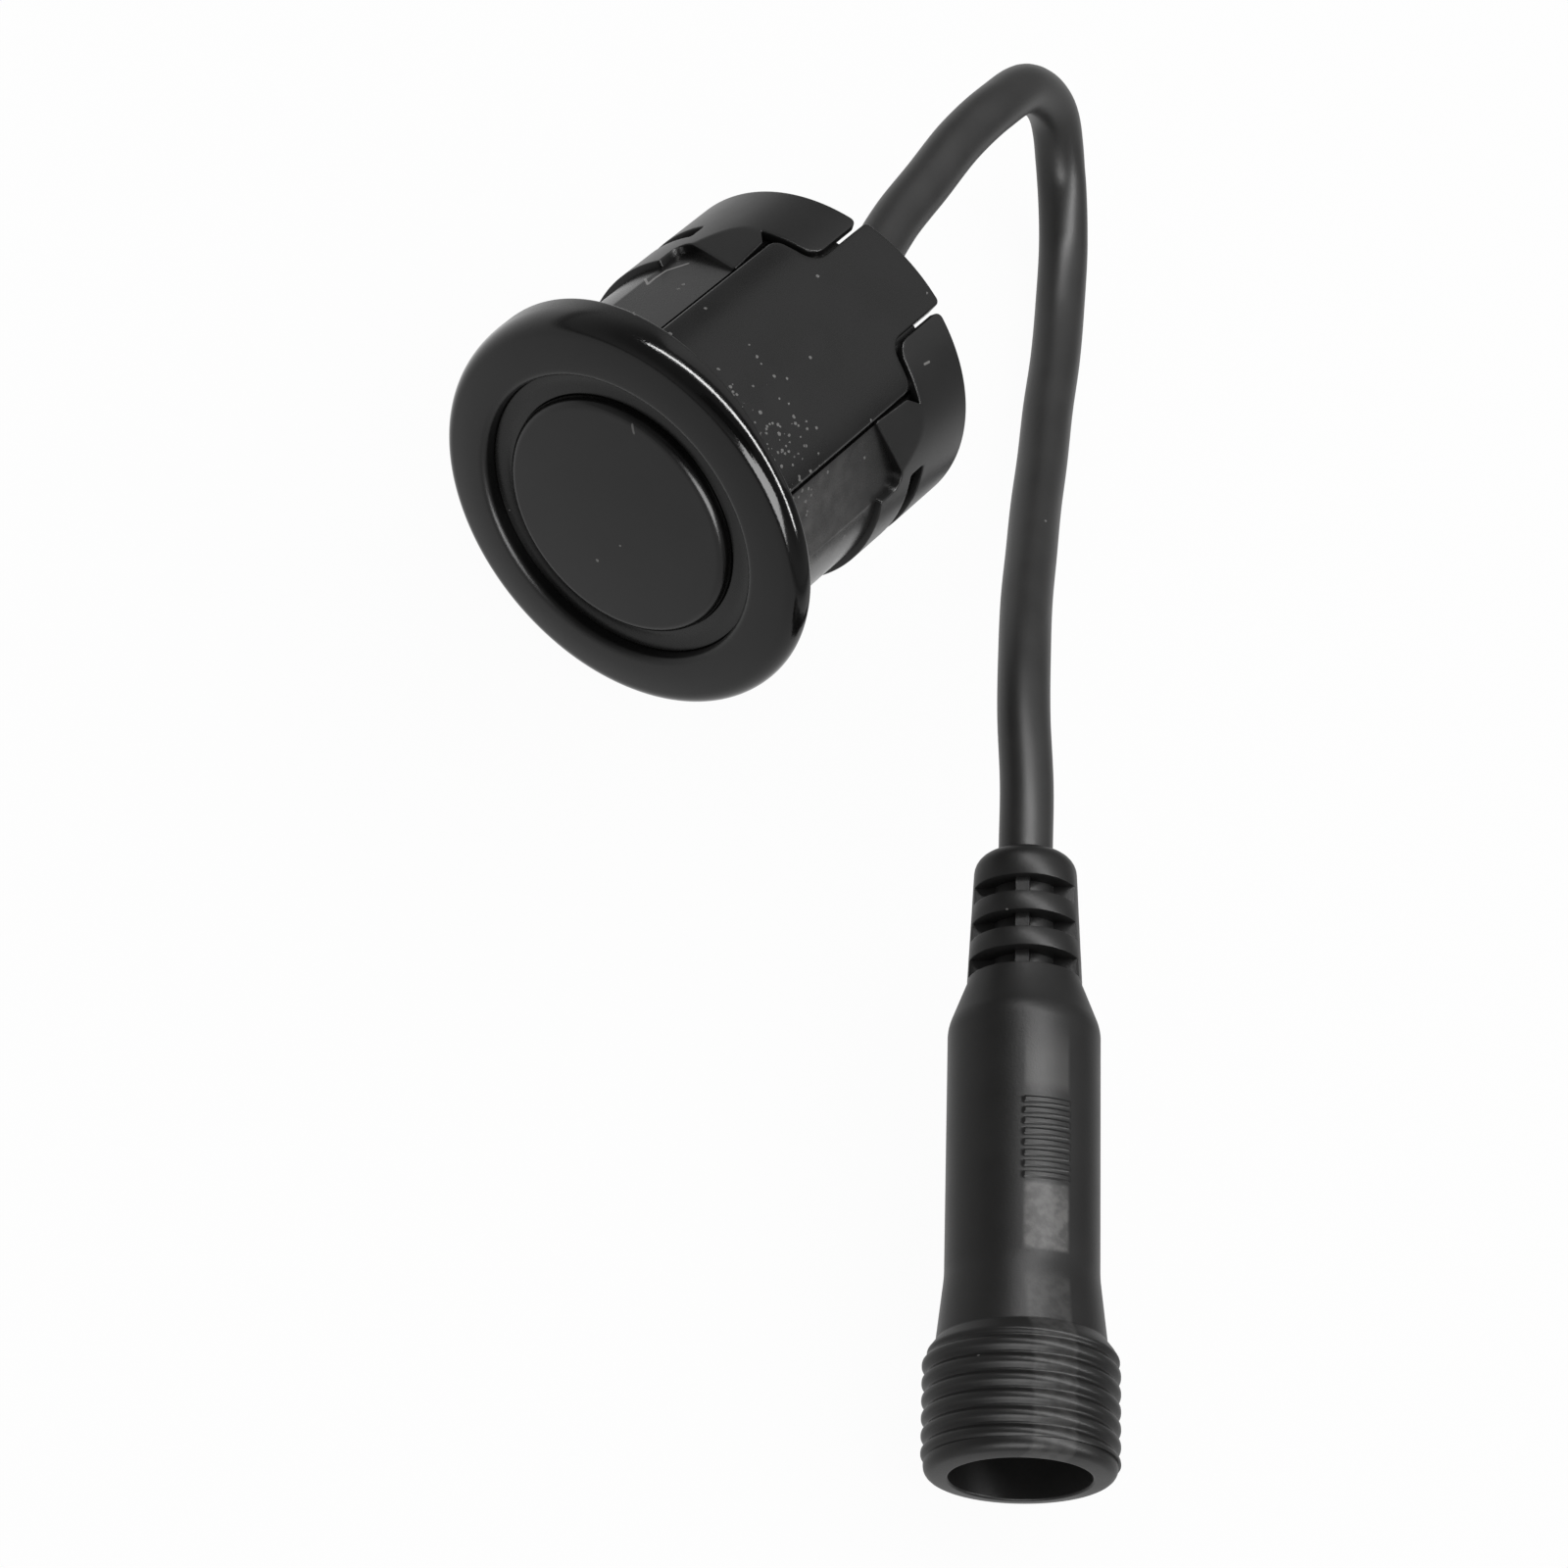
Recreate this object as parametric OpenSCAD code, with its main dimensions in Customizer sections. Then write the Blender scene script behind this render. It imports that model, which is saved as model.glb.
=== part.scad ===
/* [Barrel] */
// outer diameter of the round body behind the flange
barrel_d = 21; // [19:0.1:23]
// length of the body behind the flange
barrel_len = 17.4; // [16:0.1:20]
// wall of the body round the rubber ring
front_wall = 1.05; // [0.8:0.05:1.5]
// wall of the body round the potting
rear_wall = 1.5; // [1.3:0.05:2.2]
// angle of the side flats from the top
flat_angle = 48.4; // [44:0.2:52]
// half of the angle that each side flat takes up
flat_half = 14.9; // [12:0.1:16]

/* [Flange] */
// how far the flange stands out over the body
flange_over = 2.5; // [2:0.1:4]
// height of the flange from its rear face to the front lip
flange_h = 1.75; // [1.6:0.05:2.4]
// rounding of the flange's rim
rim_r = 0.6; // [0.3:0.05:0.7]
// straight edge between the rim's rounding and the rear face
rim_edge = 0.05; // [0.02:0.01:0.15]
// rounding of the lip round the sensing face
lip_round = 0.4; // [0.2:0.05:0.6]
// thickness of the skirt behind the rim, which is deeper on one side
skirt_t = 1.1; // [0.8:0.05:1.5]
// how far the skirt's wall lies inside the rim
skirt_in = 0.1; // [0.05:0.05:0.3]
// slant of the skirt's rear edge
skirt_angle = 6.3; // [3:0.1:8]
// distance from the axis to where the skirt starts, on its shallow side
skirt_from = 2.7; // [0:0.1:5]

/* [Tongue] */
// how far the tongue stands out over the body
tongue_rise = 0.4; // [0.2:0.05:0.6]
// width of the seam beside the tongue
seam_w = 0.25; // [0.15:0.05:0.4]
// depth of the seam beside the tongue
seam_depth = 0.45; // [0.2:0.05:0.6]
// width of the tongue
tongue_w = 12; // [10:0.1:13]
// distance from the tongue's rear corners to the body's rear end
tongue_short = 2.9; // [2:0.1:4]
// width of the narrow tab behind the tongue
tab_w = 6.5; // [5:0.1:8]
// how far the tab reaches past the body's rear end
tab_over = 2.4; // [2:0.1:3.5]
// thickness of the tab
tab_t = 1; // [0.8:0.05:1.4]
// rounding of the tongue's rear corners
tongue_round = 0.6; // [0.3:0.05:1]
// rounding where the tab leaves the tongue
tab_fillet = 1; // [0.5:0.05:1.4]
// rounding of the tab's rear corners
tab_round = 0.3; // [0.1:0.05:0.6]

/* [Retaining clip] */
// thickness of the clip
clip_t = 0.45; // [0.3:0.05:0.7]
// length of the clip along the body
clip_len = 9; // [8:0.1:11]
// how far the clip reaches past the body's rear end
clip_over = 1.95; // [1.2:0.05:2]
// gap between the clip and the tongue
clip_gap = 0.35; // [0.2:0.05:0.6]
// rounding of the wings' rear tips
wing_round = 0.5; // [0.2:0.05:0.8]
// width of the side slots along the axis
slot_w = 1.35; // [0.8:0.05:1.8]
// height of the side slots
slot_h = 10.1; // [8:0.1:12]
// depth of the pockets that the body has behind the side slots
pocket_depth = 0.9; // [0.4:0.05:1]
// width of the windows that bare the side flats
window_w = 5.6; // [4:0.1:6]
// depth of the windows beside the tongue
window_short = 0.2; // [0.1:0.05:1]
// depth of the windows beside the flank
window_long = 2.4; // [1.5:0.05:2.8]
// rounding of the windows' deep corner
window_round = 0.9; // [0.3:0.05:1.2]
// width of the notch beside the tongue's rear corner
notch_w = 0.65; // [0.3:0.05:1]
// length of the notch beside the tongue's rear corner
notch_len = 1; // [0.5:0.05:1.5]
// angle of the pressed facets from the top
facet_angle = 44; // [38:0.5:46]
// slope of the pressed facets
facet_tilt = 5.5; // [2:0.1:6]

/* [Sensing face] */
// width of the groove between the lip and the face
groove_w = 1.6; // [1:0.05:2]
// depth of the groove
groove_depth = 0.9; // [0.5:0.05:1.2]
// how far the face lies behind the lip
face_sink = 0.15; // [0:0.05:0.4]
// rounding of the face's edge
face_round = 0.4; // [0.2:0.05:0.6]
// thickness of the cup's membrane
membrane_t = 0.8; // [0.5:0.05:1.2]
// wall of the cup
cup_wall = 1.65; // [1:0.05:2.5]
// how far the cup's rear flange stands out
cup_flange_over = 0.65; // [0.3:0.05:0.9]
// thickness of the cup's rear flange
cup_flange_t = 1.4; // [1:0.1:2]
// distance from the flange to the seat of the rubber ring
ring_seat = 6; // [4:0.1:8]

/* [Inside] */
// diameter of the piezo disc
piezo_d = 7.5; // [6:0.1:9]
// thickness of the piezo disc
piezo_t = 0.35; // [0.2:0.05:0.5]
// thickness of the damping pad
pad_t = 2; // [1:0.1:3]
// diameter of each core
core_d = 1; // [0.8:0.05:1.2]
// distance between the two cores
core_gap = 1.5; // [1.3:0.05:1.8]
// thickness of the rear cap
cap_t = 2; // [1.5:0.1:3]
// diameter of the boss where the cable leaves the cap
boss_d = 6; // [5:0.1:8]
// length of the boss
boss_len = 1.6; // [1:0.1:2]

/* [Cable] */
// diameter of the cable
cable_d = 3.3; // [3:0.1:3.6]

/* [Strain relief] */
// diameter of the strain relief at the cable
relief_d = 6.1; // [5.6:0.1:7]
// how much wider the strain relief is at the barrel
relief_taper = 0.8; // [0.4:0.1:1.2]
// length of the strain relief
relief_len = 8.4; // [8.2:0.1:10]
// rounding of the strain relief's end
relief_round = 1.2; // [0.5:0.1:1.3]
// distance from the cable to the first row of slots
row_first = 2.35; // [2:0.05:2.6]
// spacing of the rows of slots
row_pitch = 2.35; // [2.2:0.05:2.6]
// width of each slot
row_w = 1.1; // [0.8:0.05:1.3]
// depth of each slot
row_depth = 1; // [0.6:0.05:1.1]
// width of the webs between the slots
web_w = 2.1; // [1.2:0.1:2.6]
// width of the rib across the floor of each slot
rib_w = 0.85; // [0.5:0.05:1.2]
// height of the rib across the floor of each slot
rib_h = 0.6; // [0.3:0.05:0.9]

/* [Connector] */
// length of the whole connector
conn_len = 38.9; // [38:0.1:44]
// diameter of the barrel
conn_d = 9.1; // [8.8:0.1:10]
// length of the shoulder between strain relief and barrel
shoulder_len = 2.9; // [2:0.1:4]
// length of the flare in front of the thread
flare_len = 4; // [3:0.1:6]
// how much wider the flare is than the barrel
flare_over = 0.9; // [0.5:0.1:1.2]
// diameter over the crests of the coupling thread
thread_d = 11.5; // [11:0.1:12.5]
// length of the threaded end
thread_len = 8.1; // [7.5:0.1:9]
// rise of the thread's first turn along the axis
thread_rise = 0.6; // [0.3:0.05:0.8]
// rounding of the rim round the mouth
mouth_round = 0.7; // [0.4:0.05:0.9]
// slope of the rim's face along the axis
mouth_slope = 0.2; // [0.1:0.05:0.4]
// diameter of the mouth
mouth_d = 8.3; // [7.8:0.1:8.6]
// depth of the mouth
mouth_depth = 7.5; // [6:0.1:8]
// diameter of the chamber behind the mouth
chamber_d = 6.6; // [6:0.1:7]
// length of the chamber behind the mouth
chamber_len = 11; // [10:0.1:12]
// length of the contact carrier
carrier_len = 6; // [4:0.1:7]
// diameter of each contact pin
pin_d = 1.2; // [0.8:0.1:1.4]
// distance between the contact pins
pin_gap = 2.6; // [2:0.1:3]
// how far the pins stand out of the carrier
pin_out = 4.5; // [3:0.1:4.8]

/* [Hidden] */
$fn = 96;
eps = 0.05;
far = 40;
barrel_r = barrel_d / 2;
bore_r = barrel_r - rear_wall;
lip_r = barrel_r - front_wall;
flange_r = barrel_r + flange_over;
flat_d = barrel_r * cos(flat_half);
tongue_r = barrel_r + tongue_rise;
tongue_back = barrel_len - tongue_short;
tab_back = barrel_len + tab_over;
clip_r = barrel_r + clip_t;
clip_back = barrel_len + clip_over;
clip_front = clip_back - clip_len;
slot_back = tongue_back + clip_gap;
face_y = face_sink - flange_h;
cup_r = lip_r - groove_w;
cup_bore_r = cup_r - cup_wall;
cup_back = ring_seat + cup_flange_t;
pad_front = face_y + membrane_t + piezo_t;
pad_back = pad_front + pad_t;
cap_front = barrel_len - cap_t;
boss_back = barrel_len + boss_len;
// crown of the flange: an arc that starts level at the lip and ends on the circle of the rim
rim_x = flange_r - rim_r;
rim_y = -rim_r - rim_edge;
crown_x = lip_r + lip_round;
crown_span = rim_x - crown_x;
crown_drop = flange_h + rim_y;
skirt_r = flange_r - skirt_in;
crown_r = (crown_span * crown_span + crown_drop * crown_drop - rim_r * rim_r) / (2 * (crown_drop - rim_r));
thread_r = thread_d / 2;
thread_at = conn_len - thread_len;
mouth_r = mouth_d / 2;
mouth_at = conn_len - mouth_depth;
carrier_at = mouth_at - chamber_len;
// place of the connector: cable end, turn about z, dip below the level and roll of its slots
conn_at = [31.35, 7.7, -4.25];
conn_turn = -49.5;
conn_dip = 4.4;
conn_roll = 34;
conn_dir = [cos(conn_dip) * cos(conn_turn), cos(conn_dip) * sin(conn_turn), -sin(conn_dip)];
// way of the cable: back from the boss, down to the table and round to the connector
route = [
    [0, boss_back, 0], [-0.5, 23.75, -0.25], [-2, 28.25, -1], [-3.25, 33, -1.25], [-4, 37.75, -1.25],
    [-4.75, 42.5, -1.25], [-5, 47.25, -1.5], [-4.75, 52, -2.75], [-2.75, 55.25, -5.5], [0.5, 55.5, -9],
    [4, 53, -10.75], [7, 49.25, -11.25], [9.5, 45.25, -11], [11.75, 41, -10.5], [14, 36.75, -9.75],
    [16, 32.5, -8.75], [18, 28.25, -7.5], [20, 24, -6.25], [22.25, 19.75, -5], [25, 15.5, -4.25],
    [28.25, 11.5, -4], conn_at
];
cable_sides = 8;
rings_each = 3;

// puts a shape drawn along z, with its top towards y, on the sensor's axis
module on_axis() {
    rotate([90, 0, 180]) children();
}

// puts a shape drawn along z on the connector's axis, with its cable end at the origin
module on_connector() {
    translate(conn_at) rotate([0, 90 + conn_dip, conn_turn]) rotate([0, 0, conn_roll]) children();
}

// raises a plan drawn across and along the axis from the axis to the top
module raise() {
    rotate([-90, 0, 0]) mirror([0, 1, 0]) linear_extrude(far) children();
}

// what a rounding takes off a corner at the origin, for a piece that lies below and left of it
module corner_cut(r) {
    translate([-r, -r]) difference() {
        square(r + eps);
        circle(r = r);
    }
}

// plan of the tongue and its tab seen from above, grown by a gap
module tongue_plan(grow) {
    half = tongue_w / 2 + grow;
    back = tongue_back + grow;
    tab = tab_w / 2 + grow;
    difference() {
        union() {
            translate([-half, -far / 2]) square([2 * half, back + far / 2]);
            translate([-tab, 0]) square([2 * tab, tab_back]);
            translate([-tab - tab_fillet, back - eps]) square([2 * (tab + tab_fillet), tab_fillet + eps]);
        }
        for (side = [0, 1]) mirror([side, 0]) {
            translate([tab + tab_fillet, back + tab_fillet]) circle(r = tab_fillet);
            translate([half, back]) corner_cut(tongue_round);
            translate([tab, tab_back]) corner_cut(tab_round);
        }
    }
}

// space outside a flat that faces away from the axis, turned from the top and tilted about a level
module outside_flat(angle, distance, tilt, level) {
    rotate([0, 0, -angle]) translate([0, distance, level]) rotate([tilt, 0, 0])
        translate([-far / 2, 0, -far]) cube([far, far, 2 * far]);
}

// the round body with its four flats, solid
module barrel_solid(front, back) {
    difference() {
        translate([0, 0, front]) cylinder(r = barrel_r, h = back - front);
        for (side = [-1, 1], turn = [0, 180]) outside_flat(turn + side * flat_angle, flat_d, 0, 0);
    }
}

// half section of the flange, radius across and axis up
module flange_section() {
    difference() {
        union() {
            intersection() {
                translate([crown_x, crown_r - flange_h]) circle(r = crown_r, $fn = 180);
                translate([lip_r, -flange_h]) square([rim_x - lip_r, flange_h]);
            }
            intersection() {
                translate([rim_x, rim_y]) circle(r = rim_r);
                translate([lip_r, -flange_h]) square([far, flange_h]);
            }
            translate([lip_r, rim_y]) square([rim_x - lip_r, -rim_y]);
        }
        translate([lip_r, -flange_h]) mirror([1, 0]) mirror([0, 1]) corner_cut(lip_round);
    }
}

// skirt behind the rim: a ring with a slanted rear edge, deepest on one side
module flange_skirt() {
    difference() {
        translate([0, 0, rim_y]) cylinder(r = skirt_r, h = flange_r);
        translate([0, 0, rim_y - eps]) cylinder(r = skirt_r - skirt_t, h = far);
        translate([-skirt_from, 0, 0]) rotate([0, -skirt_angle, 0]) translate([-far, -far, 0])
            cube([2 * far, 2 * far, far]);
    }
}

// pockets of the body behind the clip's side slots, and the seams beside the tongue
module body_cuts() {
    seam_floor = sqrt(barrel_r * barrel_r - tongue_w * tongue_w / 4) - seam_depth;
    for (side = [0, 1]) mirror([side, 0, 0]) {
        difference() {
            translate([0, -slot_h / 2, slot_back - slot_w]) cube([far, slot_h, slot_w]);
            cylinder(r = barrel_r - pocket_depth, h = far);
        }
        translate([tongue_w / 2, seam_floor, 0]) cube([seam_w, far, barrel_len + eps]);
    }
}

module housing() {
    color([0.05, 0.05, 0.055]) on_axis() difference() {
        union() {
            rotate_extrude() flange_section();
            flange_skirt();
            barrel_solid(-rim_r, barrel_len);
            intersection() {
                difference() {
                    translate([0, 0, -rim_r]) cylinder(r = tongue_r, h = tab_back + rim_r);
                    translate([0, 0, -flange_h]) cylinder(r = tongue_r - tab_t, h = tab_back + far);
                }
                raise() tongue_plan(0);
            }
        }
        translate([0, 0, -far / 2]) cylinder(r = lip_r, h = ring_seat + far / 2);
        cylinder(r = bore_r, h = far);
        body_cuts();
    }
}

// window in the clip over one side flat: across the flat and along the axis, deep corner rounded
module window_plan() {
    half = window_w / 2;
    slope = (window_long - window_short) / window_w;
    turn = atan(slope);
    middle = [half - window_round, window_long - window_round * (slope + 1 / cos(turn))];
    polygon([
        [-far, -far],
        [half, -far],
        for (i = [0 : 6]) middle + window_round * [cos(i * (90 + turn) / 6), sin(i * (90 + turn) / 6)],
        [-half, window_short],
        [-far, window_short]
    ]);
}

// notch that the clip has beside each rear corner of the tongue
module notch_plan() {
    edge = tongue_w / 2 + clip_gap;
    polygon([[edge - eps, slot_back], [edge - eps, slot_back - notch_len], [edge + notch_w, slot_back]]);
}

module retaining_clip() {
    color([0.06, 0.06, 0.065]) on_axis() difference() {
        translate([0, 0, clip_front]) cylinder(r = clip_r, h = clip_len);
        barrel_solid(0, far);
        raise() tongue_plan(clip_gap);
        for (side = [0, 1]) mirror([side, 0, 0]) {
            translate([0, -slot_h / 2, slot_back - slot_w]) cube([far, slot_h, slot_w]);
            outside_flat(facet_angle, clip_r, facet_tilt, slot_back);
            raise() notch_plan();
            raise() translate([tab_w / 2 + clip_gap, clip_back]) mirror([1, 0]) corner_cut(wing_round);
            for (end = [0, 1]) mirror([0, end, 0]) rotate([0, 0, -flat_angle])
                translate([0, 0, clip_front]) raise() window_plan();
        }
    }
}

module decoupling_ring() {
    front = groove_depth - flange_h;
    color([0.09, 0.09, 0.095]) on_axis() difference() {
        translate([0, 0, front]) cylinder(r = lip_r, h = ring_seat - front);
        translate([0, 0, -far / 2]) cylinder(r = cup_r, h = far);
    }
}

module transducer_cup() {
    color([0.1, 0.1, 0.105]) on_axis() rotate_extrude() difference() {
        union() {
            translate([0, face_y]) square([cup_r, cup_back - face_y]);
            translate([0, ring_seat]) square([cup_r + cup_flange_over, cup_flange_t]);
        }
        translate([0, face_y + membrane_t]) square([cup_bore_r, far]);
        translate([cup_r, face_y]) mirror([0, 1]) corner_cut(face_round);
    }
}

module piezo_disc() {
    color([0.8, 0.78, 0.7]) on_axis() translate([0, 0, face_y + membrane_t])
        cylinder(d = piezo_d, h = piezo_t);
}

// the two cores, from the piezo disc to the cable
module core(side) {
    on_axis() translate([side * core_gap / 2, 0, pad_front])
        cylinder(d = core_d, h = boss_back - pad_front);
}

// room for the two cores
module core_holes() {
    for (side = [-1, 1]) translate([side * core_gap / 2, 0, 0])
        cylinder(d = core_d, h = 2 * far, center = true);
}

module damping_pad() {
    color([0.35, 0.27, 0.2]) on_axis() difference() {
        translate([0, 0, pad_front]) cylinder(r = cup_bore_r, h = pad_t);
        core_holes();
    }
}

module potting() {
    color([0.55, 0.55, 0.53]) on_axis() difference() {
        union() {
            translate([0, 0, pad_back]) cylinder(r = cup_bore_r, h = cap_front - pad_back);
            translate([0, 0, cup_back]) cylinder(r = bore_r, h = cap_front - cup_back);
        }
        core_holes();
    }
}

module core_live() {
    color([0.55, 0.07, 0.06]) core(-1);
}

module core_return() {
    color([0.75, 0.75, 0.72]) core(1);
}

module rear_cap() {
    color([0.06, 0.06, 0.065]) on_axis() difference() {
        union() {
            translate([0, 0, cap_front]) cylinder(r = bore_r, h = cap_t);
            translate([0, 0, barrel_len]) cylinder(d = boss_d, h = boss_len);
        }
        core_holes();
    }
}

// smooth curve from q to r between its neighbours p and s
function bend(p, q, r, s, t) =
    q + 0.5 * t * (r - p + t * (2 * p - 5 * q + 4 * r - s + t * (3 * (q - r) + s - p)));
function unit(v) = v / norm(v);
stops = len(route) - 1;
guide = [route[0] - [0, boss_len, 0], each route, conn_at + relief_len * conn_dir];
path = [
    for (i = [0 : stops - 1], k = [0 : rings_each - 1])
        bend(guide[i], guide[i + 1], guide[i + 2], guide[i + 3], k / rings_each),
    conn_at
];
ends = len(path) - 1;
function along(i) = i == 0 ? [0, 1, 0] : i == ends ? conn_dir : unit(path[i + 1] - path[i - 1]);
function across(i) = unit(cross(along(i), [0, 0, 1]));
function ring(i) = [
    for (k = [0 : cable_sides - 1]) path[i] + cable_d / 2
        * (cos(360 * k / cable_sides) * across(i) + sin(360 * k / cable_sides) * cross(across(i), along(i)))
];
function corner(i, k) = i * cable_sides + k % cable_sides;

module cable_jacket() {
    points = [for (i = [0 : ends]) each ring(i)];
    faces = [
        [for (k = [0 : cable_sides - 1]) corner(0, k)],
        for (i = [0 : ends - 1], k = [0 : cable_sides - 1])
            each [
                [corner(i, k), corner(i + 1, k), corner(i, k + 1)],
                [corner(i, k + 1), corner(i + 1, k), corner(i + 1, k + 1)]
            ],
        [for (k = [cable_sides - 1 : -1 : 0]) corner(ends, k)]
    ];
    color([0.07, 0.07, 0.075]) polyhedron(points = points, faces = faces, convexity = 8);
}

// half section of the connector from the cable to the mouth, radius across and axis up
module connector_section() {
    relief_r = relief_d / 2;
    barrel = conn_d / 2;
    difference() {
        polygon([
            [0, 0], [relief_r, 0], [relief_r + relief_taper / 2, relief_len],
            [barrel, relief_len + shoulder_len], [barrel, thread_at - flare_len],
            [barrel + flare_over / 2, thread_at], [thread_r, thread_at + thread_rise],
            [thread_r, conn_len - mouth_slope], [mouth_r, conn_len], [0, conn_len]
        ]);
        translate([relief_r, 0]) mirror([0, 1]) corner_cut(relief_round);
        translate([thread_r, conn_len - mouth_slope]) corner_cut(mouth_round);
    }
}

// one row of slots in the strain relief: two side webs stay, and a low rib crosses each slot
module slot_row() {
    floor_r = relief_d / 2 - row_depth;
    difference() {
        cylinder(d = 2 * relief_d, h = row_w);
        translate([0, 0, -eps]) cylinder(r = floor_r, h = row_w + 2 * eps);
        translate([-web_w / 2, -far, -eps]) cube([web_w, 2 * far, row_w + 2 * eps]);
        translate([-floor_r - rib_h, -rib_w / 2, -eps])
            cube([2 * (floor_r + rib_h), rib_w, row_w + 2 * eps]);
    }
}

module connector_shell() {
    color([0.065, 0.065, 0.07]) on_connector() difference() {
        rotate_extrude() connector_section();
        translate([0, 0, mouth_at]) cylinder(r = mouth_r, h = far);
        translate([0, 0, carrier_at]) cylinder(d = chamber_d, h = far);
        for (i = [0 : 2]) translate([0, 0, row_first + i * row_pitch]) slot_row();
    }
}

module contact_carrier() {
    color([0.12, 0.12, 0.13]) on_connector() difference() {
        translate([0, 0, carrier_at]) cylinder(d = chamber_d, h = carrier_len);
        for (side = [-1, 1]) translate([0, side * pin_gap / 2, 0]) cylinder(d = pin_d, h = far);
    }
}

module contact_pin(side) {
    on_connector() translate([0, side * pin_gap / 2, carrier_at])
        cylinder(d = pin_d, h = carrier_len + pin_out);
}

module pin_live() {
    color([0.75, 0.62, 0.3]) contact_pin(-1);
}

module pin_return() {
    color([0.75, 0.62, 0.3]) contact_pin(1);
}

housing();
retaining_clip();
decoupling_ring();
transducer_cup();
piezo_disc();
damping_pad();
potting();
core_live();
core_return();
rear_cap();
cable_jacket();
connector_shell();
contact_carrier();
pin_live();
pin_return();
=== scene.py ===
import bmesh
import bpy
import numpy as np
from mathutils import Matrix, Vector
from mathutils.geometry import delaunay_2d_cdt


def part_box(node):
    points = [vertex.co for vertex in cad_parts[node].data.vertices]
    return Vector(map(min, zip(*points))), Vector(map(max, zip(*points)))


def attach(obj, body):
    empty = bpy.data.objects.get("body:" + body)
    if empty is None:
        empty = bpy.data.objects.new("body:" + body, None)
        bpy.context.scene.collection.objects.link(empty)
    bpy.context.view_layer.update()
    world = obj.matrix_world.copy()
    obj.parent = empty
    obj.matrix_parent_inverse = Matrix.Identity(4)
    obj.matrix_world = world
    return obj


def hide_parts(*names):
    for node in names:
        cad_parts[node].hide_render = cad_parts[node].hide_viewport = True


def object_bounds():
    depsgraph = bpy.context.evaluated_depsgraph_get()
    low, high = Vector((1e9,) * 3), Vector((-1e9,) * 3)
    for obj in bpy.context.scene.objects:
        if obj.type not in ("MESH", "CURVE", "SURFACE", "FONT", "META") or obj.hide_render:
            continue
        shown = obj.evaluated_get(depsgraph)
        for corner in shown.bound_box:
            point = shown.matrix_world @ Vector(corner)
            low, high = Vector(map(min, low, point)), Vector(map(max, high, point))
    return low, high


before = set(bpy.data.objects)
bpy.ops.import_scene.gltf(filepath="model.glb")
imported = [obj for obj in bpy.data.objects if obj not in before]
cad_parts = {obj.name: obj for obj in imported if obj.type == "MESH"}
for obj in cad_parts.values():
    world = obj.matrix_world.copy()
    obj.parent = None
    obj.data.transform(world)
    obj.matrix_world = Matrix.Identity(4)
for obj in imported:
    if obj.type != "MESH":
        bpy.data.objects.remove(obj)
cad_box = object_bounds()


# Stage
# The sensor lies on a white table in a white light tent. The camera looks down on it from the front with
# a long lens, and the dark of the camera's own side of the tent shows in the glossy flange.
mm = 0.001
eye = np.array([18.13, -186.35, 219.85])
picture_right = np.array([0.6771, 0.5686, 0.4671])
picture_up = np.array([-0.7359, 0.5232, 0.4298])
tent_level = 0.7
tent_wall = 0.5
tent_top = 0.2
tent_fade = (0.1, 0.6)
table_size = 3.0
table_paint = 0.9
table_lit = 0.04
table_far = 0.3
table_fade = (0.09, 0.25)
lamps = {
    # name: direction from the sensor, distance, width, height and brightness next to white
    "roof": ((0.0, 0.72, 0.69), 700, 1100, 380, 0.9),
    "strip": ((0.12, 0.14, 0.98), 640, 1900, 100, 42.0),
    "window": ((0.42, -0.80, 0.38), 500, 290, 320, 15.0),
}
# these lamps are seen in reflections and give no diffuse light
glints = {"strip", "window"}
flag_toward = np.array([0.05, -0.64, 0.76])
flag_distance = 420.0
flag_half = 120.0
flag_paint = 0.01


class Wire:
    """A value that changes over a surface: one output socket of a node tree, ready for arithmetic."""

    def __init__(self, tree, socket=None):
        self.tree = tree
        self.socket = socket

    def node(self, kind, settings, inputs, output=0):
        """Adds a node of a type: its settings, then the values or wires of its sockets. Gives an output."""
        made = self.tree.nodes.new("ShaderNode" + kind)
        for name, setting in settings.items():
            setattr(made, name, setting)
        for name, value in inputs.items():
            if isinstance(value, Wire):
                self.tree.links.new(value.socket, made.inputs[name])
            else:
                made.inputs[name].default_value = value
        return Wire(self.tree, made.outputs[output])

    def twin(self, output):
        """Another output of the same node."""
        return Wire(self.tree, self.socket.node.outputs[output])

    def maths(self, operation, first, second):
        """A Math node on two values or wires."""
        return self.node("Math", {"operation": operation}, {0: first, 1: second})

    def vector(self, operation, other=(0, 0, 0), output="Vector"):
        """A Vector Math node on this place and another place or wire."""
        return self.node("VectorMath", {"operation": operation}, {0: self, 1: other}, output)

    def __add__(self, other):
        return self.maths("ADD", self, other)

    __radd__ = __add__

    def __mul__(self, other):
        return self.maths("MULTIPLY", self, other)

    __rmul__ = __mul__

    def __sub__(self, other):
        return self.maths("SUBTRACT", self, other)

    def __rsub__(self, other):
        return self.maths("SUBTRACT", other, self)

    def highest(self, other):
        """The higher of two values."""
        return self.maths("MAXIMUM", self, other)

    def lowest(self, other):
        """The lower of two values."""
        return self.maths("MINIMUM", self, other)

    def axis(self, name):
        """One part, X, Y or Z, of a place."""
        return self.node("SeparateXYZ", {}, {0: self}, name)

    def step(self, start, end):
        """0 before the start, 1 after the end and a smooth rise between them; start may be the higher."""
        limits = {"Value": self, "From Min": start, "From Max": end}
        return self.node("MapRange", {"interpolation_type": "SMOOTHSTEP"}, limits)


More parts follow.
